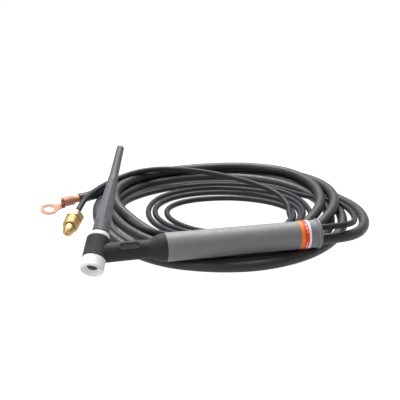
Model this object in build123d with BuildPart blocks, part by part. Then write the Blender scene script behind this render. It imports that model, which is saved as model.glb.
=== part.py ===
"""Air-cooled TIG welding torch with a long back cap, a power cable with an eye lug and a gas hose with
a nut and nipple, laid down on its own coiled leads.

Frame: the origin is the mouth of the thread that takes the collet body.  +X runs along the handle to the
cable end, +Z is up.  The head is rolled over, so its axis leans away from vertical, back cap uppermost.
Millimetres throughout.
"""
from build123d import *
import os
from math import cos, pi, radians, sin, tan

os.makedirs("parts", exist_ok=True)

# Torch layout -------------------------------------------------------------------------------------
HEAD_ANGLE = 70          # between the back cap and the handle
HEAD_ROLL = 50.4         # how far the head has rolled over towards +Y
CROSS = 7                # from the collet mouth to where the head axis meets the handle axis
AXIS_HEIGHT = 28.6       # handle axis above the surface the coiled leads lie on

HEAD_AXIS = Vector(
    cos(radians(HEAD_ANGLE)),
    sin(radians(HEAD_ANGLE)) * sin(radians(HEAD_ROLL)),
    sin(radians(HEAD_ANGLE)) * cos(radians(HEAD_ROLL)),
)
CENTRE = HEAD_AXIS * CROSS
FLOOR = CENTRE.Z - AXIS_HEIGHT
RADIAL = (Vector(1, 0, 0) - HEAD_AXIS * HEAD_AXIS.X).normalized()
HEAD_SECTION = Plane(origin=(0, 0, 0), x_dir=RADIAL, z_dir=RADIAL.cross(HEAD_AXIS))
HANDLE_SECTION = Plane(origin=CENTRE, x_dir=(1, 0, 0), z_dir=(0, -1, 0))
HEAD_LINE = Axis((0, 0, 0), HEAD_AXIS)
HANDLE_LINE = Axis(CENTRE, (1, 0, 0))

# Head, along the head axis from the collet mouth ---------------------------------------------------
CORE_R, CORE_TOP = 9, 25
COLLET_THREAD_R, COLLET_THREAD_DEPTH = 4.4, 10
CORE_THROAT_R = 3.3
CAP_THREAD_R, CAP_BORE_R, CAP_BORE_FLOOR = 6.1, 6.3, 12
BARREL_R, BARREL_TOP = 13, 26
GASKET_R, GASKET_DEPTH = 12.7, 14.5
FIT = 0.05               # radial gap of moulded and pressed parts

# Neck and collar, along the handle axis from the head axis -----------------------------------------
NECK_ROOT_R, NECK_R, NECK_END = 10.8, 10.1, 54
COLLAR = 75.5            # where the handle shell butts against the moulding
HANDLE_R, HANDLE_REAR_R, HANDLE_WALL = 15.75, 15.35, 2
HANDLE_END, LIP_R, LIP_LENGTH = 249.5, 16.6, 4
SPIGOT_END = 90
BUSHING_LENGTH = 9

# Leads ---------------------------------------------------------------------------------------------
POWER_R, GAS_R = 6.0, 3.1
POWER_DROP, GAS_RISE = -7.4, 6.6       # where each lead leaves the handle, from its axis
POWER_TUBE_R, POWER_TUBE_DROP = 4, -3.8
GAS_TUBE_R, GAS_TUBE_RISE = 2.4, 4.6
POWER_TUBE_START, GAS_TUBE_START = 6.5, 9


def head_plane(height):
    """Plane across the head axis at a height above the collet mouth, x towards the handle."""
    return Plane(origin=HEAD_AXIS * height, x_dir=RADIAL, z_dir=HEAD_AXIS)


def handle_plane(station, rise=0.0):
    """Plane across the handle axis at a station, facing the cable end, moved up by rise."""
    origin = CENTRE + Vector(station, 0, rise)
    return Plane(origin=origin, x_dir=(0, 1, 0), z_dir=(1, 0, 0))


def handle_radius(station):
    """Outer radius of the slightly tapered handle."""
    along = (station - COLLAR) / (HANDLE_END - COLLAR)
    return HANDLE_R + (HANDLE_REAR_R - HANDLE_R) * along


def above_floor(points):
    """Route points given by their height above the floor, turned into points of the frame."""
    return [Vector(x, y, FLOOR + height) for x, y, height in points]


def corner_radii(points):
    """The largest tangent arc that each corner's two runs leave room for."""
    radii = []
    for before, corner, after in zip(points, points[1:], points[2:]):
        arriving = corner - before
        leaving = after - corner
        half_turn = radians(arriving.get_angle(leaving) / 2)
        radii.append(0.45 * min(arriving.length, leaving.length) / tan(half_turn))
    return radii


def report_tube(name, tube, path, points, radius):
    """Print the bends of a cord's tube and compare its volume with section times length."""
    length = sum(edge.length for edge in path.edges())
    ratio = tube.part.volume / (pi * radius**2 * length)
    bends = ", ".join(f"{bend:.0f}" for bend in corner_radii(points))
    print(f"{name}: {length:.0f} long, bend radii {bends}; volume ratio {ratio:.4f}")


def save(piece, name):
    piece.part.label = name
    export_step(piece.part, f"parts/{name}.step")


# Head core: the brass block that carries the current and the gas ------------------------------------
with BuildPart() as head_core:
    with BuildSketch(HEAD_SECTION):
        with BuildLine():
            Polyline(
                (COLLET_THREAD_R, 0),
                (CORE_R, 0),
                (CORE_R, CORE_TOP),
                (CAP_BORE_R, CORE_TOP),
                (CAP_BORE_R, CAP_BORE_FLOOR),
                (CORE_THROAT_R, CAP_BORE_FLOOR),
                (CORE_THROAT_R, COLLET_THREAD_DEPTH),
                (COLLET_THREAD_R, COLLET_THREAD_DEPTH),
                close=True,
            )
        make_face()
    revolve(axis=HEAD_LINE)
    with BuildSketch(handle_plane(POWER_TUBE_START, POWER_TUBE_DROP)):
        Circle(POWER_TUBE_R + FIT)
    extrude(amount=CORE_R, mode=Mode.SUBTRACT)
    with BuildSketch(handle_plane(GAS_TUBE_START, GAS_TUBE_RISE)):
        Circle(GAS_TUBE_R + FIT)
    extrude(amount=CORE_R, mode=Mode.SUBTRACT)
save(head_core, "head_core")

# Copper tubes brazed to the core ---------------------------------------------------------------------
POWER_TUBE_END, GAS_TUBE_END = 118, 108

with BuildPart() as power_tube:
    with BuildLine() as power_tube_path:
        FilletPolyline(
            CENTRE + Vector(POWER_TUBE_START, 0, POWER_TUBE_DROP),
            CENTRE + Vector(SPIGOT_END + 2, 0, POWER_TUBE_DROP),
            CENTRE + Vector(POWER_TUBE_END - 12, 0, POWER_DROP),
            CENTRE + Vector(POWER_TUBE_END, 0, POWER_DROP),
            radius=20,
        )
    with BuildSketch(handle_plane(POWER_TUBE_START, POWER_TUBE_DROP)):
        Circle(POWER_TUBE_R)
        Circle(POWER_TUBE_R - 1.2, mode=Mode.SUBTRACT)
    sweep(path=power_tube_path.line)
save(power_tube, "power_tube")

with BuildPart() as gas_tube:
    with BuildLine() as gas_tube_path:
        FilletPolyline(
            CENTRE + Vector(GAS_TUBE_START, 0, GAS_TUBE_RISE),
            CENTRE + Vector(SPIGOT_END - 4, 0, GAS_TUBE_RISE),
            CENTRE + Vector(SPIGOT_END + 8, 0, GAS_RISE),
            CENTRE + Vector(GAS_TUBE_END, 0, GAS_RISE),
            radius=16,
        )
    with BuildSketch(handle_plane(GAS_TUBE_START, GAS_TUBE_RISE)):
        Circle(GAS_TUBE_R)
        Circle(GAS_TUBE_R - 0.8, mode=Mode.SUBTRACT)
    sweep(path=gas_tube_path.line)
save(gas_tube, "gas_tube")

# Moulding over the core: barrel, neck, flared collar and the spigot inside the handle ------------------
PAD_STATION, PAD_LENGTH, PAD_WIDTH, PAD_ANGLE = 35.5, 23, 8, 49
PAD_NORMAL = Vector(0, -cos(radians(PAD_ANGLE)), sin(radians(PAD_ANGLE)))
PAD_PLANE = Plane(origin=CENTRE + Vector(PAD_STATION, 0, 0), x_dir=(1, 0, 0), z_dir=PAD_NORMAL)
PAD_FACE, PAD_RIM = 10.7, 0.5

with BuildPart() as head_moulding:
    with BuildSketch(HEAD_SECTION) as barrel_section:
        with BuildLine():
            Polyline((0, 0), (BARREL_R, 0), (BARREL_R, BARREL_TOP), (0, BARREL_TOP), close=True)
        make_face()
        fillet(barrel_section.vertices().sort_by(Axis.Y)[-2:].sort_by(Axis.X)[-1], 3)
    revolve(axis=HEAD_LINE)
    with BuildSketch(HANDLE_SECTION):
        with BuildLine():
            Line((0, 0), (0, NECK_ROOT_R))
            Line((0, NECK_ROOT_R), (NECK_END, NECK_R))
            Spline(
                (NECK_END, NECK_R),
                (COLLAR - 8, 14.2),
                (COLLAR, HANDLE_R),
                tangents=((1, 0), (1, 0.05)),
            )
            Line((COLLAR, HANDLE_R), (COLLAR, HANDLE_R - HANDLE_WALL - FIT))
            Line((COLLAR, HANDLE_R - HANDLE_WALL - FIT), (SPIGOT_END, HANDLE_R - HANDLE_WALL - FIT))
            Line((SPIGOT_END, HANDLE_R - HANDLE_WALL - FIT), (SPIGOT_END, 0))
            Line((SPIGOT_END, 0), (0, 0))
        make_face()
    revolve(axis=HANDLE_LINE)
    with BuildSketch(PAD_PLANE):
        SlotOverall(PAD_LENGTH, PAD_WIDTH)
    extrude(amount=PAD_FACE)
    with BuildSketch(PAD_PLANE.offset(PAD_FACE)):
        SlotOverall(PAD_LENGTH, PAD_WIDTH)
        SlotOverall(PAD_LENGTH - 1.6, PAD_WIDTH - 1.6, mode=Mode.SUBTRACT)
    extrude(amount=PAD_RIM)
    with BuildSketch(head_plane(0)):
        Circle(GASKET_R + FIT)
    extrude(amount=-GASKET_DEPTH, mode=Mode.SUBTRACT)
    with BuildSketch(head_plane(0)):
        Circle(CORE_R + FIT)
    extrude(amount=CORE_TOP + FIT, mode=Mode.SUBTRACT)
    with BuildSketch(head_plane(CORE_TOP)):
        Circle(CAP_BORE_R + 0.2)
    extrude(amount=BARREL_TOP - CORE_TOP, mode=Mode.SUBTRACT)
    with BuildSketch(handle_plane(0, POWER_TUBE_DROP)):
        Circle(POWER_TUBE_R + FIT)
    extrude(amount=SPIGOT_END, mode=Mode.SUBTRACT)
    with BuildSketch(handle_plane(0, GAS_TUBE_RISE)):
        Circle(GAS_TUBE_R + FIT)
    extrude(amount=SPIGOT_END - 10, mode=Mode.SUBTRACT)
    with BuildSketch(handle_plane(SPIGOT_END - 10, (GAS_TUBE_RISE + GAS_RISE) / 2)):
        SlotCenterToCenter(GAS_RISE - GAS_TUBE_RISE, 2 * (GAS_TUBE_R + 3 * FIT), rotation=90)
    extrude(amount=10, mode=Mode.SUBTRACT)
save(head_moulding, "head_moulding")

# White insulators: the ring under the back cap and the cup gasket at the working end --------------------
INSULATOR_R, INSULATOR_TOP = 11.25, 31.2
GASKET_RIM_R = 12
GASKET_MOUTH_R, GASKET_BORE_R, GASKET_MOUTH_DEPTH = 11, 5.6, 4.4

with BuildPart() as cap_insulator:
    with BuildSketch(HEAD_SECTION):
        with BuildLine():
            Line((CAP_BORE_R + 0.2, BARREL_TOP), (INSULATOR_R, BARREL_TOP))
            Line((INSULATOR_R, BARREL_TOP), (INSULATOR_R, INSULATOR_TOP - 2.5))
            TangentArc(
                (INSULATOR_R, INSULATOR_TOP - 2.5), (INSULATOR_R - 2.5, INSULATOR_TOP), tangent=(0, 1)
            )
            Line((INSULATOR_R - 2.5, INSULATOR_TOP), (CAP_BORE_R + 0.2, INSULATOR_TOP))
            Line((CAP_BORE_R + 0.2, INSULATOR_TOP), (CAP_BORE_R + 0.2, BARREL_TOP))
        make_face()
    revolve(axis=HEAD_LINE)
save(cap_insulator, "cap_insulator")

with BuildPart() as cup_gasket:
    with BuildSketch(HEAD_SECTION):
        with BuildLine():
            Line((GASKET_BORE_R, 0), (GASKET_R, 0))
            Line((GASKET_R, 0), (GASKET_R, -5))
            Spline(
                (GASKET_R, -5),
                (GASKET_R - 0.2, -10),
                (GASKET_RIM_R, -GASKET_DEPTH + 0.6),
                tangents=((0, -1), (-0.3, -1)),
            )
            Line((GASKET_RIM_R, -GASKET_DEPTH + 0.6), (GASKET_RIM_R - 0.6, -GASKET_DEPTH))
            Line((GASKET_RIM_R - 0.6, -GASKET_DEPTH), (GASKET_MOUTH_R, -GASKET_DEPTH))
            Line((GASKET_MOUTH_R, -GASKET_DEPTH), (GASKET_BORE_R, -GASKET_DEPTH + GASKET_MOUTH_DEPTH))
            Line((GASKET_BORE_R, -GASKET_DEPTH + GASKET_MOUTH_DEPTH), (GASKET_BORE_R, 0))
        make_face()
    revolve(axis=HEAD_LINE)
save(cup_gasket, "cup_gasket")

# Back cap: moulded body, its brass thread and its O-ring ------------------------------------------------
CAP_BASE = 32.6
CAP_LENGTH = 117.9
CAP_BASE_R, CAP_BASE_CHAMFER = 9.3, 0.8
FACET_FROM, FACET_TO, FACETS = 14, 70, 8
FACET_FROM_R, FACET_TO_R = 8.8, 5.5     # round body where the flats start and end
FACET_DEPTH_FROM, FACET_DEPTH_TO = 0.65, 0.2
CAP_WAIST, CAP_WAIST_R = 78, 4.85
CAP_SHOULDER_R, CAP_TIP_R, CAP_NOSE = 4.15, 2.4, 2.5
CAP_TIP_WALL = 4
CAP_TUNGSTEN_BORE_R = 2.6
INSERT_TOP, INSERT_BOTTOM, INSERT_GRIP_R = 46, 14, 5.2
O_RING_R, O_RING_SECTION = 7.3, 0.68

with BuildPart() as cap_facets:
    with BuildSketch(HEAD_SECTION):
        with BuildLine():
            Polyline(
                (0, CAP_BASE + FACET_FROM),
                (FACET_FROM_R, CAP_BASE + FACET_FROM),
                (FACET_TO_R, CAP_BASE + FACET_TO),
                (0, CAP_BASE + FACET_TO),
                close=True,
            )
        make_face()
    revolve(axis=HEAD_LINE)
    with BuildSketch(head_plane(CAP_BASE + FACET_FROM)):
        RegularPolygon(FACET_FROM_R - FACET_DEPTH_FROM, FACETS, major_radius=False)
    with BuildSketch(head_plane(CAP_BASE + FACET_TO)):
        RegularPolygon(FACET_TO_R - FACET_DEPTH_TO, FACETS, major_radius=False)
    loft(mode=Mode.INTERSECT)

with BuildPart() as back_cap:
    with BuildSketch(HEAD_SECTION):
        with BuildLine():
            Polyline(
                (0, CAP_BASE),
                (CAP_BASE_R - CAP_BASE_CHAMFER, CAP_BASE),
                (CAP_BASE_R, CAP_BASE + CAP_BASE_CHAMFER),
                (FACET_FROM_R, CAP_BASE + FACET_FROM),
                (0, CAP_BASE + FACET_FROM),
                close=True,
            )
        make_face()
    revolve(axis=HEAD_LINE)
    add(cap_facets.part)
    with BuildSketch(HEAD_SECTION):
        with BuildLine():
            Polyline(
                (0, CAP_BASE + FACET_TO),
                (FACET_TO_R, CAP_BASE + FACET_TO),
                (CAP_WAIST_R, CAP_BASE + CAP_WAIST),
                (CAP_SHOULDER_R, CAP_BASE + CAP_LENGTH - CAP_NOSE),
            )
            TangentArc(
                (CAP_SHOULDER_R, CAP_BASE + CAP_LENGTH - CAP_NOSE),
                (CAP_TIP_R, CAP_BASE + CAP_LENGTH),
                tangent=(-0.02, 1),
            )
            Line((CAP_TIP_R, CAP_BASE + CAP_LENGTH), (0, CAP_BASE + CAP_LENGTH))
            Line((0, CAP_BASE + CAP_LENGTH), (0, CAP_BASE + FACET_TO))
        make_face()
    revolve(axis=HEAD_LINE)
    with BuildSketch(head_plane(CAP_BASE)):
        Circle(INSERT_GRIP_R + FIT)
    extrude(amount=INSERT_TOP - CAP_BASE + FIT, mode=Mode.SUBTRACT)
    with BuildSketch(head_plane(INSERT_TOP)):
        Circle(CAP_TUNGSTEN_BORE_R)
    extrude(amount=CAP_BASE + CAP_LENGTH - CAP_TIP_WALL - INSERT_TOP, mode=Mode.SUBTRACT)
save(back_cap, "back_cap")

with BuildPart() as cap_insert:
    with BuildSketch(HEAD_SECTION):
        with BuildLine():
            Polyline(
                (CAP_TUNGSTEN_BORE_R, INSERT_BOTTOM),
                (CAP_THREAD_R - 0.8, INSERT_BOTTOM),
                (CAP_THREAD_R, INSERT_BOTTOM + 0.8),
                (CAP_THREAD_R, CAP_BASE),
                (INSERT_GRIP_R, CAP_BASE),
                (INSERT_GRIP_R, INSERT_TOP),
                (CAP_TUNGSTEN_BORE_R, INSERT_TOP),
                close=True,
            )
        make_face()
    revolve(axis=HEAD_LINE)
save(cap_insert, "cap_insert")

with BuildPart() as cap_o_ring:
    with BuildSketch(HEAD_SECTION):
        with Locations((O_RING_R, (INSULATOR_TOP + CAP_BASE) / 2)):
            Circle(O_RING_SECTION)
    revolve(axis=HEAD_LINE)
save(cap_o_ring, "cap_o_ring")

# Handle shell with its rear lip, the printed band and the rear bushing -----------------------------------
BAND_FROM, BAND_TO, BAND_THICK = 227, 237.5, 0.2
BORE_R = HANDLE_R - HANDLE_WALL

with BuildPart() as handle_shell:
    with BuildSketch(HANDLE_SECTION):
        with BuildLine():
            Line((COLLAR, BORE_R), (COLLAR, HANDLE_R))
            Line((COLLAR, HANDLE_R), (HANDLE_END - LIP_LENGTH, handle_radius(HANDLE_END - LIP_LENGTH)))
            Line((HANDLE_END - LIP_LENGTH, handle_radius(HANDLE_END - LIP_LENGTH)), (HANDLE_END - 3, LIP_R))
            Line((HANDLE_END - 3, LIP_R), (HANDLE_END - 1, LIP_R))
            TangentArc((HANDLE_END - 1, LIP_R), (HANDLE_END, LIP_R - 1), tangent=(1, 0))
            Line((HANDLE_END, LIP_R - 1), (HANDLE_END, BORE_R))
            Line((HANDLE_END, BORE_R), (COLLAR, BORE_R))
        make_face()
    revolve(axis=HANDLE_LINE)
save(handle_shell, "handle_shell")

with BuildPart() as label_band:
    with BuildSketch(HANDLE_SECTION):
        with BuildLine():
            Polyline(
                (BAND_FROM, handle_radius(BAND_FROM) + 0.02),
                (BAND_FROM, handle_radius(BAND_FROM) + BAND_THICK),
                (BAND_TO, handle_radius(BAND_TO) + BAND_THICK),
                (BAND_TO, handle_radius(BAND_TO) + 0.02),
                close=True,
            )
        make_face()
    revolve(axis=HANDLE_LINE)
save(label_band, "label_band")

with BuildPart() as handle_bushing:
    with BuildSketch(handle_plane(HANDLE_END - BUSHING_LENGTH)) as bushing_section:
        Circle(BORE_R - FIT)
        with Locations((0, POWER_DROP)):
            Circle(POWER_R + FIT, mode=Mode.SUBTRACT)
        with Locations((0, GAS_RISE)):
            Circle(GAS_R + FIT, mode=Mode.SUBTRACT)
    extrude(amount=BUSHING_LENGTH)
save(handle_bushing, "handle_bushing")

# Joints inside the handle: tubes to leads ----------------------------------------------------------------
UNION_FROM, UNION_TO, UNION_R = 110, 124, 5.8
CRIMP_TO, CRIMP_R = 146, 4.9
BARB_TO, BARB_R = 126, 1.5
CLAMP_FROM, CLAMP_TO, CLAMP_R = 113, 120, 3.9

with BuildPart() as power_union:
    with BuildSketch(handle_plane(UNION_FROM, POWER_DROP)):
        RegularPolygon(UNION_R, 6, major_radius=False)
    extrude(amount=UNION_TO - UNION_FROM)
    with BuildSketch(handle_plane(UNION_FROM, POWER_DROP)):
        Circle(POWER_TUBE_R + FIT)
    extrude(amount=POWER_TUBE_END - UNION_FROM + FIT, mode=Mode.SUBTRACT)
save(power_union, "power_union")

with BuildPart() as power_crimp:
    with BuildSketch(handle_plane(UNION_TO, POWER_DROP)):
        Circle(CRIMP_R)
    extrude(amount=CRIMP_TO - UNION_TO)
    chamfer(power_crimp.faces().sort_by(Axis.X)[-1].edges(), 0.8)
save(power_crimp, "power_crimp")

with BuildPart() as power_lead:
    with BuildSketch(handle_plane(CRIMP_TO, POWER_DROP)):
        Circle(POWER_R)
    extrude(amount=HANDLE_END - CRIMP_TO)
save(power_lead, "power_lead")

with BuildPart() as gas_barb:
    with BuildSketch(handle_plane(GAS_TUBE_END, GAS_RISE)):
        Circle(GAS_R - 0.2)
    extrude(amount=2)
    with BuildSketch(handle_plane(GAS_TUBE_END + 2, GAS_RISE)):
        Circle(BARB_R)
    extrude(amount=BARB_TO - GAS_TUBE_END - 2)
save(gas_barb, "gas_barb")

with BuildPart() as gas_lead:
    with BuildSketch(handle_plane(GAS_TUBE_END + 2, GAS_RISE)):
        Circle(GAS_R)
        Circle(BARB_R + FIT, mode=Mode.SUBTRACT)
    extrude(amount=HANDLE_END - GAS_TUBE_END - 2)
save(gas_lead, "gas_lead")

with BuildPart() as gas_hose_clamp:
    with BuildSketch(handle_plane(CLAMP_FROM, GAS_RISE)):
        Circle(CLAMP_R)
        Circle(GAS_R + FIT, mode=Mode.SUBTRACT)
    extrude(amount=CLAMP_TO - CLAMP_FROM)
save(gas_hose_clamp, "gas_hose_clamp")

# Eye lug and the bared strands on the power cable's far end, tipped so that the eye's near edge is down -----
LUG_CENTRE = Vector(-17, 240, FLOOR + 3.3)
LUG_HEADING, LUG_PITCH, LUG_ROLL = 13.8, 4.5, 17.5
LUG_DIRECTION = Vector(1, 0, 0).rotate(Axis.Y, -LUG_PITCH).rotate(Axis.Z, LUG_HEADING)
LUG_UPRIGHT = Vector(0, 0, 1).rotate(Axis.Y, -LUG_PITCH).rotate(Axis.Z, LUG_HEADING)
LUG_NORMAL = LUG_UPRIGHT.rotate(Axis((0, 0, 0), LUG_DIRECTION), LUG_ROLL)
LUG_PLANE = Plane(origin=LUG_CENTRE, x_dir=LUG_DIRECTION, z_dir=LUG_NORMAL)
LUG_EYE_R, LUG_HOLE_R, LUG_THICK = 10.5, 6.5, 1.5
LUG_BARREL_FROM, LUG_BARREL_TO, LUG_SLOT = 19, 33, 7.5
STRANDS_R, JACKET_START = 4.4, 41.2


def lug_cross_plane(station):
    """Plane across the lug at a distance from its eye, at the middle height of the cable."""
    origin = LUG_CENTRE + LUG_DIRECTION * station + LUG_NORMAL * POWER_R
    return Plane(origin=origin, x_dir=LUG_DIRECTION.cross(LUG_NORMAL), z_dir=LUG_DIRECTION)


with BuildPart() as cable_lug:
    with BuildSketch(LUG_PLANE):
        Circle(LUG_EYE_R)
        with BuildLine():
            Polyline(
                (6, -7),
                (14, -4.2),
                (LUG_BARREL_FROM + 1, -4.2),
                (LUG_BARREL_FROM + 1, 4.2),
                (14, 4.2),
                (6, 7),
                close=True,
            )
        make_face()
        Circle(LUG_HOLE_R, mode=Mode.SUBTRACT)
    extrude(amount=LUG_THICK)
    with BuildSketch(lug_cross_plane(LUG_BARREL_FROM)):
        Circle(POWER_R)
        Circle(STRANDS_R + FIT, mode=Mode.SUBTRACT)
        with Locations((0, POWER_R)):
            Rectangle(LUG_SLOT, 2 * POWER_R, mode=Mode.SUBTRACT)
    extrude(amount=LUG_BARREL_TO - LUG_BARREL_FROM)
save(cable_lug, "cable_lug")

with BuildPart() as conductor_strands:
    with BuildSketch(lug_cross_plane(LUG_BARREL_FROM - 1.5)):
        Circle(STRANDS_R)
    extrude(amount=JACKET_START - LUG_BARREL_FROM + 1.5)
save(conductor_strands, "conductor_strands")

# Nipple, nut and ferrule on the gas hose's far end, nose down -----------------------------------------------
NOSE = Vector(-9.3, 139.7, FLOOR + 5.5)
HOSE_START = Vector(7.9, 172.7, FLOOR + 18)
FITTING_AXIS = (HOSE_START - NOSE).normalized()
FITTING_LENGTH = (HOSE_START - NOSE).length
FITTING_SIDE = FITTING_AXIS.cross(Vector(0, 0, 1)).normalized()
FITTING_SECTION = Plane(origin=NOSE, x_dir=FITTING_SIDE, z_dir=FITTING_SIDE.cross(FITTING_AXIS))
FITTING_LINE = Axis(NOSE, FITTING_AXIS)
NUT_THREAD_R, NUT_ACROSS_FLATS = 9, 19
NUT_FROM, HEX_FROM, NUT_TO = 12.5, 26, 36
COLLAR_R, COLLAR_FROM, COLLAR_TO = 6.2, 11.5, 23.8
SHANK_R, SHANK_TO = 1.9, 31
GAS_PASSAGE_R = 1.1
FERRULE_R, FERRULE_FROM = 4.5, 27

with BuildPart() as gas_nipple:
    with BuildSketch(FITTING_SECTION):
        with BuildLine():
            Polyline(
                (GAS_PASSAGE_R, 0),
                (2.6, 0),
                (4.3, 1.2),
                (4.7, 4.2),
                (5.5, 4.8),
                (5.8, 8.6),
                (6.6, 9.2),
                (6.6, COLLAR_FROM),
                (COLLAR_R, COLLAR_FROM),
                (COLLAR_R, COLLAR_TO),
                (SHANK_R, COLLAR_TO),
                (SHANK_R, SHANK_TO),
                (GAS_PASSAGE_R, SHANK_TO),
                close=True,
            )
        make_face()
    revolve(axis=FITTING_LINE)
save(gas_nipple, "gas_nipple")

with BuildPart() as gas_nut:
    with BuildSketch(Plane(origin=NOSE + FITTING_AXIS * HEX_FROM, x_dir=FITTING_SIDE, z_dir=FITTING_AXIS)):
        RegularPolygon(NUT_ACROSS_FLATS / 2, 6, major_radius=False)
    extrude(amount=NUT_TO - HEX_FROM)
    with BuildSketch(FITTING_SECTION):
        with BuildLine():
            Polyline(
                (0, HEX_FROM - 1),
                (NUT_ACROSS_FLATS / 2 - 0.6, HEX_FROM - 1),
                (NUT_ACROSS_FLATS / 2 + 1.6, HEX_FROM + 1.2),
                (NUT_ACROSS_FLATS / 2 + 1.6, NUT_TO - 2.6),
                (NUT_ACROSS_FLATS / 2 - 1.6, NUT_TO),
                (0, NUT_TO),
                close=True,
            )
        make_face()
    revolve(axis=FITTING_LINE, mode=Mode.INTERSECT)
    with BuildSketch(FITTING_SECTION):
        with BuildLine():
            Polyline(
                (0, NUT_FROM),
                (NUT_THREAD_R - 0.8, NUT_FROM),
                (NUT_THREAD_R, NUT_FROM + 0.8),
                (NUT_THREAD_R, HEX_FROM),
                (0, HEX_FROM),
                close=True,
            )
        make_face()
    revolve(axis=FITTING_LINE)
    with BuildSketch(FITTING_SECTION):
        with BuildLine():
            Polyline(
                (0, NUT_FROM),
                (COLLAR_R + 0.3, NUT_FROM),
                (COLLAR_R + 0.3, COLLAR_TO + 0.2),
                (FERRULE_R + 0.4, COLLAR_TO + 0.2),
                (FERRULE_R + 0.4, NUT_TO),
                (0, NUT_TO),
                close=True,
            )
        make_face()
    revolve(axis=FITTING_LINE, mode=Mode.SUBTRACT)
save(gas_nut, "gas_nut")

with BuildPart() as gas_ferrule:
    with BuildSketch(FITTING_SECTION):
        with BuildLine():
            Polyline(
                (SHANK_R + FIT, FERRULE_FROM),
                (FERRULE_R, FERRULE_FROM),
                (FERRULE_R, FITTING_LENGTH),
                (SHANK_R + FIT, FITTING_LENGTH),
                close=True,
            )
        make_face()
    revolve(axis=FITTING_LINE)
save(gas_ferrule, "gas_ferrule")

# Power cable and gas hose: the uncoiled ends, as (x, y, height above the floor) -----------------------------
POWER_EXIT = [
    (HANDLE_END + CENTRE.X, CENTRE.Y, AXIS_HEIGHT + POWER_DROP),
    (272, CENTRE.Y, AXIS_HEIGHT + POWER_DROP),
    (299, 15, 19),
    (320, 38, 17),
    (335, 70, 15),
    (345, 108, 12),
    (349, 146, 8.5),
    (346, 182, 6.5),
]
GAS_EXIT = [
    (HANDLE_END + CENTRE.X, CENTRE.Y, AXIS_HEIGHT + GAS_RISE),
    (272, CENTRE.Y, AXIS_HEIGHT + GAS_RISE),
    (290, 14, 32.5),
    (304, 31, 28),
    (315, 53, 23),
    (324, 76, 19),
    (331, 101, 15.5),
    (336, 128, 12),
    (338, 155, 9),
]
JACKET_END = LUG_CENTRE + LUG_DIRECTION * JACKET_START + LUG_NORMAL * POWER_R
POWER_TAIL = [
    (200, 321, 18),
    (168, 320, 18),
    (137, 314, 18),
    (110, 304, 17.5),
    (86, 284, 16.5),
    (62, 264, 14.8),
    (40, 252.2, 13.4),
    (JACKET_END.X, JACKET_END.Y, JACKET_END.Z - FLOOR),
]
GAS_TAIL = [
    (266, 142, 5),
    (274, 166, 7),
    (273, 190, 12),
    (264, 210, 16),
    (252, 231, 18),
    (236, 251, 20),
    (218, 266, 22),
    (196, 279, 25),
    (171, 291, 27),
    (140, 303, 27),
    (106, 297, 27),
    (81, 279, 26),
    (60, 260, 25),
    (42, 236, 25),
    (28, 213, 25.5),
    (16.7, 189.5, 24.4),
    (HOSE_START.X, HOSE_START.Y, HOSE_START.Z - FLOOR),
]


def route_start(points):
    """Plane at the first point of a route, facing along its first run."""
    return Plane(origin=points[0], z_dir=points[1] - points[0])


power_exit_points = above_floor(POWER_EXIT)
with BuildPart() as power_cable_exit:
    with BuildLine() as power_exit_path:
        FilletPolyline(*power_exit_points, radius=corner_radii(power_exit_points))
    with BuildSketch(route_start(power_exit_points)):
        Circle(POWER_R)
    sweep(path=power_exit_path.line)
save(power_cable_exit, "power_cable_exit")

gas_exit_points = above_floor(GAS_EXIT)
with BuildPart() as gas_hose_exit:
    with BuildLine() as gas_exit_path:
        FilletPolyline(*gas_exit_points, radius=corner_radii(gas_exit_points))
    with BuildSketch(route_start(gas_exit_points)):
        Circle(GAS_R)
    sweep(path=gas_exit_path.line)
save(gas_hose_exit, "gas_hose_exit")

power_tail_points = above_floor(POWER_TAIL)
with BuildPart() as power_cable_tail:
    with BuildLine() as power_tail_path:
        FilletPolyline(*power_tail_points, radius=corner_radii(power_tail_points))
    with BuildSketch(route_start(power_tail_points)):
        Circle(POWER_R)
    sweep(path=power_tail_path.line)
save(power_cable_tail, "power_cable_tail")

gas_tail_points = above_floor(GAS_TAIL)
with BuildPart() as gas_hose_tail:
    with BuildLine() as gas_tail_path:
        FilletPolyline(*gas_tail_points, radius=corner_radii(gas_tail_points))
    with BuildSketch(route_start(gas_tail_points)):
        Circle(GAS_R)
    sweep(path=gas_tail_path.line)
save(gas_hose_tail, "gas_hose_tail")

# Coils: the outer shape of each, a flat ring, one layer high where the handle lies across it -----------------
POWER_COIL_CENTRE, POWER_COIL_RADII = (183.5, 155), (158.5, 180)
POWER_COIL_HOLE_CENTRE, POWER_COIL_HOLE_RADII = (186, 149.5), (111, 126.5)
POWER_COIL_LOW, POWER_COIL_HIGH = 12, 24
COIL_RISE_FROM, COIL_RISE_TO = 24, 110
GAS_COIL_CENTRE, GAS_COIL_RADII, GAS_COIL_WIDTH = (190, 178), (95, 88), 33
GAS_COIL_HEIGHT = 13
FLOOR_PLANE = Plane.XY.offset(FLOOR)
SIDE_PLANE = Plane(origin=(0, 0, FLOOR), x_dir=(0, 1, 0), z_dir=(1, 0, 0))

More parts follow.
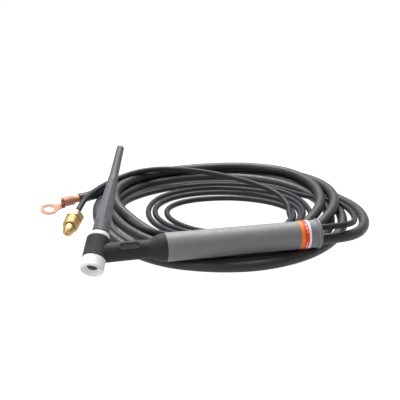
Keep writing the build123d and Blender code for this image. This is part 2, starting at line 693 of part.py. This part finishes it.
with BuildPart() as power_cable_coil:
    with BuildSketch(FLOOR_PLANE):
        with Locations(POWER_COIL_CENTRE):
            Ellipse(*POWER_COIL_RADII)
        with Locations(POWER_COIL_HOLE_CENTRE):
            Ellipse(*POWER_COIL_HOLE_RADII, mode=Mode.SUBTRACT)
    extrude(amount=POWER_COIL_HIGH)
    with BuildSketch(SIDE_PLANE):
        with BuildLine():
            Polyline(
                (-60, POWER_COIL_LOW),
                (COIL_RISE_FROM, POWER_COIL_LOW),
                (COIL_RISE_TO, POWER_COIL_HIGH),
                (COIL_RISE_TO, POWER_COIL_HIGH + 5),
                (-60, POWER_COIL_HIGH + 5),
                close=True,
            )
        make_face()
    extrude(amount=400, mode=Mode.SUBTRACT)
    with BuildSketch(handle_plane(0)):
        Circle(LIP_R + 0.3)
    extrude(amount=HANDLE_END, mode=Mode.SUBTRACT)
save(power_cable_coil, "power_cable_coil")

with BuildPart() as gas_hose_coil:
    with BuildSketch(FLOOR_PLANE):
        with Locations(GAS_COIL_CENTRE):
            Ellipse(*GAS_COIL_RADII)
            Ellipse(*(radius - GAS_COIL_WIDTH for radius in GAS_COIL_RADII), mode=Mode.SUBTRACT)
    extrude(amount=GAS_COIL_HEIGHT)
save(gas_hose_coil, "gas_hose_coil")

report_tube("power_cable_exit", power_cable_exit, power_exit_path, power_exit_points, POWER_R)
report_tube("gas_hose_exit", gas_hose_exit, gas_exit_path, gas_exit_points, GAS_R)
report_tube("power_cable_tail", power_cable_tail, power_tail_path, power_tail_points, POWER_R)
report_tube("gas_hose_tail", gas_hose_tail, gas_tail_path, gas_tail_points, GAS_R)
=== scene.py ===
"""Air-cooled TIG torch lying on its own coiled power cable and gas hose, seen from its head end.

Frame: metres, Z up, X along the handle, origin on the neck's axis where it meets the head.
Tables of points are in millimetres; their last number is the height above the floor.
"""

import math

import bpy
from mathutils import Matrix, Vector


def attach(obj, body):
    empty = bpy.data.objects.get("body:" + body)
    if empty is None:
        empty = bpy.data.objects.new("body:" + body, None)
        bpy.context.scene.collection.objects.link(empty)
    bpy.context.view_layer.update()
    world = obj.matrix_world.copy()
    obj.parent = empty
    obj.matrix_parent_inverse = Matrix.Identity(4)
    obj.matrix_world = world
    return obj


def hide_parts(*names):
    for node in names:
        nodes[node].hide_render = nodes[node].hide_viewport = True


MM = 0.001
FLOOR = -24.407  # what the torch lies on, in millimetres
CENTRE = Vector((2.394, 5.068, 4.193))  # where the neck's axis meets the head's axis
HEAD_AXIS = Vector((0.34202, 0.72405, 0.59898))

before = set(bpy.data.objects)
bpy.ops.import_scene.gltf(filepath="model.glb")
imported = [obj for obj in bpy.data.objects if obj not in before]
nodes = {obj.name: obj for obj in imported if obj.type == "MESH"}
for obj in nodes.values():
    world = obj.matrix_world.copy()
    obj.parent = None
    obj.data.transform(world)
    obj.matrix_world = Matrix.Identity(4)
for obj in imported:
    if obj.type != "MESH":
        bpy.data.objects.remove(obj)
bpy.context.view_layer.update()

# Camera -----------------------------------------------------------------------------------------------------
camera = bpy.data.objects.new("camera", bpy.data.cameras.new("camera"))
bpy.context.scene.collection.objects.link(camera)
EYE = Vector((-168.576, -1070.754, 415.792))
look, up = Vector((0.24342, 0.91938, -0.30902)), Vector((0.07909, 0.29872, 0.95106))
camera.matrix_world = Matrix.Translation(EYE * MM) @ Matrix(
    (look.cross(up), up, -look)
).transposed().to_4x4()
camera.data.lens, camera.data.sensor_width = 99, 36
camera.data.clip_start, camera.data.clip_end = 0.01, 50
bpy.context.scene.camera = camera

# Materials --------------------------------------------------------------------------------------------------
NOISE_LOW, NOISE_HIGH = 0.3, 0.7  # where nearly all of the noise's values lie
GLOSS_SCALE = 2.3  # the gloss is uneven on a finer scale than the colour
EDGE_FROM, EDGE_TO = 0.53, 0.62  # pointiness at which wear starts, and at which it is full


def material(name, colour, roughness, metallic, mottle, grain, edge=None, specular=0.5, rough_spread=0.08):
    """A surface with uneven colour (scale, share), uneven gloss, fine grain (scale, depth in mm) and, where edge
    names a colour and a strength, worn or dusty edges."""
    made = bpy.data.materials.new(name)
    made.use_nodes = True
    tree = made.node_tree
    surface = tree.nodes["Principled BSDF"]
    surface.inputs["Metallic"].default_value = metallic
    surface.inputs["Specular IOR Level"].default_value = specular
    place = tree.nodes.new("ShaderNodeTexCoord")

    def noise(scale, detail):
        node = tree.nodes.new("ShaderNodeTexNoise")
        node.inputs["Scale"].default_value = scale
        node.inputs["Detail"].default_value = detail
        tree.links.new(place.outputs["Object"], node.inputs["Vector"])
        return node.outputs["Fac"]

    def spread(value, low, high):
        node = tree.nodes.new("ShaderNodeMapRange")
        node.inputs["From Min"].default_value = NOISE_LOW
        node.inputs["From Max"].default_value = NOISE_HIGH
        node.inputs["To Min"].default_value = low
        node.inputs["To Max"].default_value = high
        tree.links.new(value, node.inputs["Value"])
        return node.outputs["Result"]

    def blend(share, first, second):
        node = tree.nodes.new("ShaderNodeMix")
        node.data_type = "RGBA"
        tree.links.new(share, node.inputs["Factor"])
        for socket, value in ((node.inputs["A"], first), (node.inputs["B"], second)):
            if isinstance(value, bpy.types.NodeSocket):
                tree.links.new(value, socket)
            else:
                socket.default_value = (*value, 1)
        return node.outputs["Result"]

    scale, share = mottle
    dark = tuple(c * (1 - share) for c in colour)
    light = tuple(min(1.0, c * (1 + share)) for c in colour)
    shade = blend(spread(noise(scale, 6), 0, 1), dark, light)
    if edge:
        worn, strength = edge
        geometry = tree.nodes.new("ShaderNodeNewGeometry")
        ridge = tree.nodes.new("ShaderNodeMapRange")
        ridge.inputs["From Min"].default_value = EDGE_FROM
        ridge.inputs["From Max"].default_value = EDGE_TO
        ridge.inputs["To Max"].default_value = strength
        tree.links.new(geometry.outputs["Pointiness"], ridge.inputs["Value"])
        shade = blend(ridge.outputs["Result"], shade, worn)
    tree.links.new(shade, surface.inputs["Base Color"])
    gloss = spread(noise(scale * GLOSS_SCALE, 4), roughness - rough_spread, roughness + rough_spread)
    tree.links.new(gloss, surface.inputs["Roughness"])
    bump = tree.nodes.new("ShaderNodeBump")
    bump.inputs["Strength"].default_value = 1
    bump.inputs["Distance"].default_value = grain[1] * MM
    tree.links.new(noise(grain[0], 3), bump.inputs["Height"])
    tree.links.new(bump.outputs["Normal"], surface.inputs["Normal"])
    return made


DUST = (0.16, 0.16, 0.165)
BRASS = material("brass", (0.50, 0.34, 0.145), 0.48, 1.0, (180, 0.10), (2600, 0.01),
                 edge=((0.58, 0.42, 0.20), 0.5), rough_spread=0.05)
COPPER = material("copper", (0.32, 0.13, 0.085), 0.62, 0.45, (150, 0.14), (1800, 0.03),
                  edge=((0.34, 0.16, 0.11), 0.5), specular=0.15)
BRIGHT_COPPER = material("bright_copper", (0.40, 0.17, 0.07), 0.45, 0.8, (500, 0.18), (3000, 0.02))
HEAD_RUBBER = material("head_rubber", (0.020, 0.020, 0.020), 0.66, 0, (420, 0.34), (1400, 0.22),
                       edge=(DUST, 0.14), specular=0.2)
WHITE = material("white_insulator", (0.60, 0.61, 0.62), 0.55, 0, (300, 0.04), (1600, 0.06))
# Painted shade: a grey for the white gasket's bore that stands in for the shadow down its hole
GASKET_BORE_SHADE = material("gasket_bore_painted_shade", (0.22, 0.22, 0.22), 0.6, 0, (300, 0.2), (1600, 0.06))
CAP = material("cap_phenolic", (0.075, 0.080, 0.088), 0.42, 0, (140, 0.16), (1700, 0.02), edge=(DUST, 0.30))
O_RING = material("o_ring_rubber", (0.015, 0.015, 0.015), 0.5, 0, (300, 0.2), (1500, 0.05))
HANDLE = material("handle_nylon", (0.140, 0.142, 0.147), 0.55, 0, (90, 0.06), (2200, 0.08),
                  edge=((0.24, 0.24, 0.25), 0.25), specular=0.3)
BUSHING = material("bushing_rubber", (0.03, 0.03, 0.03), 0.6, 0, (200, 0.2), (1500, 0.1))
STEEL = material("clamp_steel", (0.6, 0.6, 0.6), 0.35, 1.0, (200, 0.1), (2000, 0.03))
CABLE = material("cable_jacket", (0.016, 0.0165, 0.018), 0.50, 0, (55, 0.16), (1200, 0.14), specular=0.38)
HOSE = material("hose_jacket", (0.015, 0.016, 0.019), 0.50, 0, (70, 0.14), (1500, 0.08), specular=0.16)
ORANGE = material("band_orange", (0.66, 0.17, 0.010), 0.55, 0, (200, 0.05), (1500, 0.02), specular=0.2)
RED = material("band_red", (0.66, 0.028, 0.020), 0.55, 0, (200, 0.06), (1500, 0.02), specular=0.2)
BAND_WHITE = material("band_white", (0.66, 0.67, 0.69), 0.55, 0, (200, 0.03), (1500, 0.02), specular=0.2)

NODE_LOOKS = {
    BRASS: ("head_core", "cap_insert", "power_union", "gas_barb", "gas_nut", "gas_nipple", "gas_ferrule"),
    COPPER: ("power_tube", "gas_tube", "power_crimp", "cable_lug", "conductor_strands"),
    HEAD_RUBBER: ("head_moulding",),
    WHITE: ("cup_gasket", "cap_insulator"),
    CAP: ("back_cap",),
    O_RING: ("cap_o_ring",),
    HANDLE: ("handle_shell",),
    BUSHING: ("handle_bushing",),
    STEEL: ("gas_hose_clamp",),
    ORANGE: ("label_band",),
    CABLE: ("power_lead", "power_cable_exit", "power_cable_coil", "power_cable_tail"),
    HOSE: ("gas_lead", "gas_hose_exit", "gas_hose_coil", "gas_hose_tail"),
}
for look_of, names in NODE_LOOKS.items():
    for name in names:
        nodes[name].data.materials.clear()
        nodes[name].data.materials.append(look_of)

# Meshes -----------------------------------------------------------------------------------------------------
SMOOTH_ANGLE = 35  # degrees between two faces, past which their edge is sharp


def link_mesh(name, points, faces, *materials):
    mesh = bpy.data.meshes.new(name)
    mesh.from_pydata([tuple(Vector(p) * MM) for p in points], [], faces)
    for m in materials:
        mesh.materials.append(m)
    mesh.validate()
    made = bpy.data.objects.new(name, mesh)
    bpy.context.scene.collection.objects.link(made)
    return made


def across(axis):
    """Two directions square to axis and to each other."""
    first = axis.cross(Vector((0, 0, 1))).normalized()
    return first, axis.cross(first).normalized()


def lathe(name, profile, origin, axis, look_of, around=96, relief=None):
    """A closed profile of (station, radius) turned about an axis. relief(station, radius, share of a turn) is
    added to the radius."""
    first, second = across(axis)
    points = []
    for station, radius in profile:
        for k in range(around):
            turn = math.tau * k / around
            r = radius + (relief(station, radius, k / around) if relief else 0)
            points.append(origin + axis * station + (first * math.cos(turn) + second * math.sin(turn)) * r)
    rows = len(profile)
    faces = [
        (i * around + k, i * around + (k + 1) % around, (i + 1) % rows * around + (k + 1) % around,
         (i + 1) % rows * around + k)
        for i in range(rows) for k in range(around)
    ]
    made = link_mesh(name, points, faces, look_of)
    made.data.shade_smooth()
    made.data.set_sharp_from_angle(angle=math.radians(SMOOTH_ANGLE))
    return made


# Cup gasket: a knurled cup with a conical mouth
KNURL_FROM, KNURL_TO, KNURL_R, KNURL_DEPTH = -1.6, -11.6, 12.66, 0.16
KNURL_ROWS, KNURL_DOTS, KNURL_WAVES = 40, 44, 6.5  # rows of the mesh, dots round the cup, waves along it
KNURL_FADE = 8  # the pattern fades in and out over an eighth of its length


def knurl(station, radius, share):
    if radius < KNURL_R or not KNURL_TO <= station <= KNURL_FROM:
        return 0
    run = (station - KNURL_FROM) / (KNURL_TO - KNURL_FROM)
    fade = min(1, KNURL_FADE * run, KNURL_FADE * (1 - run))
    wave = math.cos(math.tau * KNURL_DOTS * share) * math.cos(math.tau * KNURL_WAVES * run)
    return -KNURL_DEPTH * fade * (0.5 - 0.5 * wave)


outer = [(-0.2, 11.9), (-0.5, 12.45), (-1.0, 12.65)]
outer += [(KNURL_FROM + (KNURL_TO - KNURL_FROM) * i / KNURL_ROWS, KNURL_R) for i in range(KNURL_ROWS + 1)]
outer += [(-12.6, 12.6), (-13.4, 12.4), (-13.95, 12.0), (-14.35, 11.6), (-14.46, 11.3)]
mouth = [(-14.46, 11.15), (-14.25, 10.85), (-10.4, 5.95), (-10.1, 5.65), (-9.9, 5.64), (-0.2, 5.64)]
AROUND_CUP = 4 * KNURL_DOTS
gasket = lathe("gasket_cup", outer + mouth, Vector(), HEAD_AXIS, WHITE, around=AROUND_CUP, relief=knurl)
gasket.data.materials.append(GASKET_BORE_SHADE)
BORE_ROWS = 2  # the bore's wall and the ring that closes it at the head, which get a grey painted shade
# The bore's faces take the grey painted shade in place of the white, so the hole looks dark
for face in gasket.data.polygons[-BORE_ROWS * AROUND_CUP:]:
    face.material_index = 1
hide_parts("cup_gasket")
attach(gasket, "torch")

# Printed band: an orange, a red and a white ring, with plain bars in the red one
BAND_FROM, BAND_R, BAND_THICK, BAND_STEPS = 227.4, 15.59, 0.16, 240
BAND_CUTS = (0, 4.0, 6.3, 7.3, 9.0, 11.4)
BARS = ((14, 20), (26, 44), (50, 58), (110, 122), (128, 140), (146, 152))  # degrees, repeated every half turn
IN_ORANGE, IN_RED, IN_WHITE = 0, 1, 2
ZONE_LOOKS = (IN_ORANGE, IN_RED, IN_RED, IN_RED, IN_WHITE)
BAR_ZONE = 2  # the red zone whose bars are white


def band_look(zone, degrees):
    barred = zone == BAR_ZONE and any(a <= degrees % 180 < b for a, b in BARS)
    return IN_WHITE if barred else ZONE_LOOKS[zone]


rings = [(x, BAND_R) for x in BAND_CUTS] + [(x, BAND_R - BAND_THICK) for x in reversed(BAND_CUTS)]
band = lathe("printed_rings", [(BAND_FROM + x, r) for x, r in rings], Vector((0, CENTRE.y, CENTRE.z)),
             Vector((1, 0, 0)), ORANGE, around=BAND_STEPS)
band.data.materials.append(RED)
band.data.materials.append(BAND_WHITE)
for i, face in enumerate(band.data.polygons):
    zone, step = divmod(i, BAND_STEPS)
    if zone < len(ZONE_LOOKS):
        face.material_index = band_look(zone, 360 * step / BAND_STEPS)
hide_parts("label_band")
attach(band, "torch")

# Gas fitting: the nipple's stepped nose, and the fine thread on the nut
NOSE = Vector((-9.3, 139.7, FLOOR + 5.5))
HOSE_START = Vector((7.9, 172.7, FLOOR + 18))
FITTING_AXIS = (HOSE_START - NOSE).normalized()
NOSE_SHAPE = [(0.0, 1.1), (-0.05, 2.9), (0.35, 3.6), (1.6, 5.2), (3.0, 5.65), (4.4, 5.8), (4.9, 6.25), (8.6, 6.5),
              (11.2, 6.6), (11.7, 6.2), (12.1, 4.8), (12.1, 1.2), (3.0, 1.1)]
nose = lathe("nipple_nose", NOSE_SHAPE, NOSE, FITTING_AXIS, BRASS)
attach(nose, "torch")
THREAD_FROM, THREAD_TO, THREAD_PITCH, THREAD_R = 13.6, 24.6, 1.1, 9.0
THREAD_SUNK = 0.35  # how far the ends of the thread's shell lie inside the nut
RIDGE = ((0.12, 0.02), (0.45, 0.34), (0.65, 0.34), (0.98, 0.02))  # station and rise of one ridge's corners
ridges = [(THREAD_FROM, THREAD_R - THREAD_SUNK)]
for i in range(round((THREAD_TO - THREAD_FROM) / THREAD_PITCH)):
    root = THREAD_FROM + i * THREAD_PITCH
    ridges += [(root + station, THREAD_R + rise) for station, rise in RIDGE]
ridges += [(THREAD_TO, THREAD_R - THREAD_SUNK)]
thread = lathe("nut_thread", ridges, NOSE, FITTING_AXIS, BRASS, around=72)
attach(thread, "gas_nut")

# Copper strands between the lug and the jacket
LUG_CENTRE = Vector((-17, 240, FLOOR + 3.3))
LUG_AXIS, LUG_NORMAL = Vector((0.968141, 0.237798, 0.078459)), Vector((-0.000939, -0.309875, 0.950777))
STRAND_R, STRANDS_FROM, STRANDS_TO, STRANDS_RISE, STRAND_LAY = 0.62, 17.5, 44.5, 6.0, 60.0
STRAND_RINGS = ((1.25, 6), (2.5, 12), (3.72, 18))  # radius and number of wires, round one in the middle
STRAND_SPANS = 8


def link_curve(name, routes, radius, look_of, resolution, fine):
    """Round cords along lists of points: resolution is the steps round each, fine those from point to point."""
    curve = bpy.data.curves.new(name, "CURVE")
    curve.dimensions = "3D"
    curve.bevel_depth = radius * MM
    curve.bevel_resolution = resolution
    curve.resolution_u = fine
    curve.use_fill_caps = True
    for route in routes:
        spline = curve.splines.new("NURBS")
        spline.points.add(len(route) - 1)
        for point, place in zip(spline.points, route):
            point.co = (*(Vector(place) * MM), 1)
        spline.order_u = 3
        spline.use_endpoint_u = True
    curve.materials.append(look_of)
    made = bpy.data.objects.new(name, curve)
    bpy.context.scene.collection.objects.link(made)
    return made


def strand(ring, start):
    """One wire of the rope: ring is its distance from the middle, start its angle."""
    side, rise = LUG_NORMAL.cross(LUG_AXIS), LUG_NORMAL
    route = []
    for i in range(STRAND_SPANS + 1):
        station = STRANDS_FROM + (STRANDS_TO - STRANDS_FROM) * i / STRAND_SPANS
        turn = start + math.tau * (station - STRANDS_FROM) / STRAND_LAY
        route.append(LUG_CENTRE + LUG_AXIS * station + rise * STRANDS_RISE
                     + (side * math.cos(turn) + rise * math.sin(turn)) * ring)
    return route


wires = [strand(0, 0)]
for ring, count in STRAND_RINGS:
    wires += [strand(ring, math.tau * k / count) for k in range(count)]
strands = link_curve("copper_strands", wires, STRAND_R, BRIGHT_COPPER, 2, 3)
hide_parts("conductor_strands")
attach(strands, "torch")

# Cords ------------------------------------------------------------------------------------------------------
POWER_R, HOSE_R = 6.1, 3.4
COIL_CENTRE, COIL_STRETCH = (184, 155), 1.12  # the coil is longer in Y than in X
TURN_STEP = 20  # degrees between two points of a turn


def turns(keys):
    """Points of a lay that is keyed by (degrees, radius, height), with its radius and height eased between."""
    slopes = []
    for i in range(len(keys)):
        a, b = keys[max(i - 1, 0)], keys[min(i + 1, len(keys) - 1)]
        slopes.append([(b[k] - a[k]) / (b[0] - a[0]) for k in (1, 2)])
    count = round((keys[-1][0] - keys[0][0]) / TURN_STEP)
    points, i = [], 0
    for n in range(count + 1):
        at = keys[0][0] + (keys[-1][0] - keys[0][0]) * n / count
        while i < len(keys) - 2 and at > keys[i + 1][0]:
            i += 1
        span = keys[i + 1][0] - keys[i][0]
        u = (at - keys[i][0]) / span
        radius, height = (
            (2 * u**3 - 3 * u**2 + 1) * keys[i][k] + (3 * u**2 - 2 * u**3) * keys[i + 1][k]
            + ((u**3 - 2 * u**2 + u) * slopes[i][k - 1] + (u**3 - u**2) * slopes[i + 1][k - 1]) * span
            for k in (1, 2)
        )
        turn = math.radians(at)
        points.append((COIL_CENTRE[0] + radius * math.cos(turn),
                       COIL_CENTRE[1] + COIL_STRETCH * radius * math.sin(turn), height))
    return points


def lift(points):
    return [(x, y, FLOOR + h) for x, y, h in points]


POWER_EXIT = [(251.89, 5.07, 21.2), (272, 5.07, 21.2), (299, 15, 19), (320, 38, 17), (335, 70, 15),
              (345, 108, 12), (349, 146, 8.5)]
POWER_TAIL = [(168, 320, 18), (137, 314, 18), (110, 304, 17.5), (86, 284, 16.5), (62, 264, 14.8),
              (40, 252.2, 13.4), (22.88, 247.94, 12.24)]
GAS_EXIT = [(251.89, 5.07, 35.2), (272, 5.07, 35.2), (290, 14, 32.5), (304, 31, 28), (315, 53, 23), (324, 76, 19),
            (331, 101, 15.5), (336, 128, 12)]
GAS_TAIL = [(266, 142, 5), (274, 166, 7), (273, 190, 12), (264, 210, 16), (252, 231, 18), (236, 251, 20),
            (218, 266, 22), (196, 279, 25), (171, 291, 27), (140, 303, 27), (106, 297, 27), (81, 279, 26),
            (60, 260, 25), (42, 236, 25), (28, 213, 25.5), (16.7, 189.5, 24.4), (7.9, 172.7, 18)]

POWER_TURNS = [
    (8, 163, 6.1), (30, 169, 6.1), (50, 174, 6.1), (70, 175, 6.1), (90, 173, 6.1), (112, 174, 6.1), (130, 173, 6.1),
    (146, 160, 6.1), (158, 152, 8), (170, 153, 12), (190, 156, 13), (203, 158, 10), (216, 162, 6.1), (240, 159, 6.1),
    (270, 155, 6.1), (300, 147, 6.1), (325, 145, 6.1), (348, 147, 6.1),
    (370, 152, 6.1), (385, 156, 6.1), (400, 162, 6.1), (410, 163, 6.1), (430, 162, 6.1), (450, 161, 6.1),
    (475, 161, 6.1), (490, 159, 6.1), (506, 148, 6.1), (520, 142, 6.1), (535, 141.5, 6.1), (550, 143, 6.1),
    (565, 145, 6.1), (590, 144, 6.1), (610, 142, 6.1), (630, 141, 6.1), (660, 133, 6.1), (690, 130, 6.1),
    (708, 132, 6.1),
    (734, 140, 6.1), (750, 146, 6.1), (765, 150, 6.1), (780, 149, 6.1), (795, 147, 6.1), (813, 146, 6.1),
    (825, 146, 6.1), (840, 146, 6.1), (853, 145, 6.1), (865, 142, 6.1), (875, 138, 6.1), (885, 134, 6.1),
    (902, 127, 6.1),
    (914, 123, 6.1), (925, 122, 6.1), (945, 122.5, 6.1), (970, 124, 6.1), (990, 127, 6.1), (1020, 120, 8),
    (1035, 121, 13), (1050, 126, 18.3), (1059, 132, 18.3), (1072, 140, 18.3),
    (1090, 156, 18.3), (1110, 168, 15), (1130, 170, 14), (1150, 164, 14), (1170, 156, 14), (1185, 150, 17),
    (1200, 150, 18.3), (1207, 153, 18.3), (1219, 148, 18.3), (1237, 134, 16), (1250, 122, 13.5), (1264, 110, 9),
    (1277, 104.5, 6.1), (1300, 105, 6.1), (1330, 109, 6.1), (1350, 111, 6.1), (1380, 105, 8), (1395, 105, 13),
    (1410, 111, 18.3), (1423, 117, 18.3), (1439, 128, 18.3), (1461, 150, 18.3), (1474, 164, 18.3),
    (1484, 168, 18.3), (1493, 166, 18.3), (1510, 155, 18.3), (1520, 151, 18.3),
]
GAS_TURNS = [
    (0, 148, 12), (8, 138, 13), (15, 132, 9), (22, 132.5, 4), (30, 136, 3.4), (45, 138, 3.4), (55, 136, 3.4),
    (67, 133, 3.4), (90, 130.5, 3.4), (105, 131, 3.4), (116, 133, 3.4), (125, 135, 3.4), (137, 136, 3.4),
    (149, 133, 3.4), (160, 127.5, 3.4), (175, 121, 3.4),
    (190, 116, 3.4), (205, 113, 3.4), (240, 114, 3.4), (270, 118, 3.4), (300, 110, 3.4), (330, 109, 3.4),
    (357, 113, 3.4),
    (367, 118, 3.4), (378, 124, 3.4), (390, 129, 3.4), (398, 131, 3.4), (410, 129, 3.4), (425, 126, 3.4),
    (450, 123, 3.4), (465, 123.5, 3.4), (476, 125.5, 3.4), (485, 128, 3.4), (497, 130.5, 3.4), (506, 130, 6.5),
    (513, 128.5, 9.5), (520, 125, 11), (535, 118, 10.6), (550, 115.5, 10.6),
    (565, 113, 12), (580, 107, 15), (595, 98, 11), (612, 88, 3.4), (630, 84, 3.4), (660, 86, 3.4), (690, 93, 3.4),
    (705, 97, 3.4), (718, 106, 3.4), (730, 112, 3.4), (742, 116, 3.4), (755, 115, 3.4), (780, 110, 3.4),
    (810, 108, 3.4), (826, 107, 3.4), (841, 105.5, 3.4), (856, 99.5, 3.4), (876, 92.5, 3.4), (895, 87.5, 3.4),
    (910, 84, 3.4), (945, 75, 3.4), (990, 68, 3.4), (1035, 82, 3.4), (1077, 101, 3.4),
    (1090, 104, 3.4), (1107, 102, 3.4), (1140, 94, 3.4), (1171, 91, 3.4), (1194, 92.5, 3.4), (1214, 90.5, 3.4),
    (1229, 87, 3.4), (1247, 80, 3.4), (1265, 73.5, 3.4), (1285, 67.5, 3.4), (1305, 63, 3.4), (1350, 58, 3.4),
    (1395, 74, 3.4), (1437, 93, 3.4),
    (1450, 92, 3.4), (1467, 85, 3.4), (1489, 76, 3.4), (1511, 70.5, 3.4), (1530, 69, 3.4), (1555, 72, 3.4),
    (1576, 73.5, 3.4), (1592, 71, 3.4), (1611, 64, 3.4), (1630, 58.5, 3.4), (1648, 55, 3.4), (1670, 52.5, 3.4),
    (1710, 52, 3.4), (1740, 62, 3.4), (1765, 79, 3.4), (1783, 84, 3.8),
]

power_route = lift(POWER_EXIT + turns(POWER_TURNS) + POWER_TAIL)
gas_route = lift(GAS_EXIT + turns(GAS_TURNS) + GAS_TAIL)
power_cable = link_curve("power_cable", [power_route], POWER_R, CABLE, 6, 8)
gas_hose = link_curve("gas_hose", [gas_route], HOSE_R, HOSE, 5, 8)
for obj, kind, slot in ((power_cable, "power_cable", "cable_jacket"), (gas_hose, "gas_hose", "hose_jacket")):
    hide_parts(*(f"{kind}_{part}" for part in ("exit", "coil", "tail")))
    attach(obj, "torch")

# Floor and light --------------------------------------------------------------------------------------------
FLOOR_HALF = 15000  # half the floor's side, in millimetres
FLOOR_GREY, FLOOR_GLOW, SKY = 0.06, 1.02, 0.4  # the floor is a light table, so that it shows no shadow
LIT_PLACE = Vector((0.15, 0.15, 0))  # what the lamps point at
floor_look = bpy.data.materials.new("floor")
floor_look.use_nodes = True
paper = floor_look.node_tree.nodes["Principled BSDF"]
paper.inputs["Base Color"].default_value = (FLOOR_GREY, FLOOR_GREY, FLOOR_GREY, 1)
paper.inputs["Roughness"].default_value = 0.9
paper.inputs["Emission Color"].default_value = (1, 1, 1, 1)
paper.inputs["Specular IOR Level"].default_value = 0
paper.inputs["Emission Strength"].default_value = FLOOR_GLOW
corners = [(x * FLOOR_HALF, y * FLOOR_HALF, FLOOR) for x, y in ((-1, -1), (1, -1), (1, 1), (-1, 1))]
floor = link_mesh("floor", corners, [(0, 1, 2, 3)], floor_look)

world = bpy.data.worlds.new("studio")
world.use_nodes = True
world.node_tree.nodes["Background"].inputs["Color"].default_value = (1, 1, 1, 1)
world.node_tree.nodes["Background"].inputs["Strength"].default_value = SKY
bpy.context.scene.world = world
bpy.context.scene.view_settings.view_transform = "Standard"


def softbox(name, place, size, watts):
    lamp = bpy.data.lights.new(name, "AREA")
    lamp.shape, lamp.size, lamp.energy = "SQUARE", size, watts
    made = bpy.data.objects.new(name, lamp)
    made.location = place
    made.rotation_mode = "QUATERNION"
    made.rotation_quaternion = (LIT_PLACE - Vector(place)).to_track_quat("-Z", "Y")
    bpy.context.scene.collection.objects.link(made)


softbox("overhead", (0.3, 0.8, 1.25), size=1.1, watts=58)
softbox("left_fill", (-1.2, -0.5, 0.9), size=0.8, watts=16)
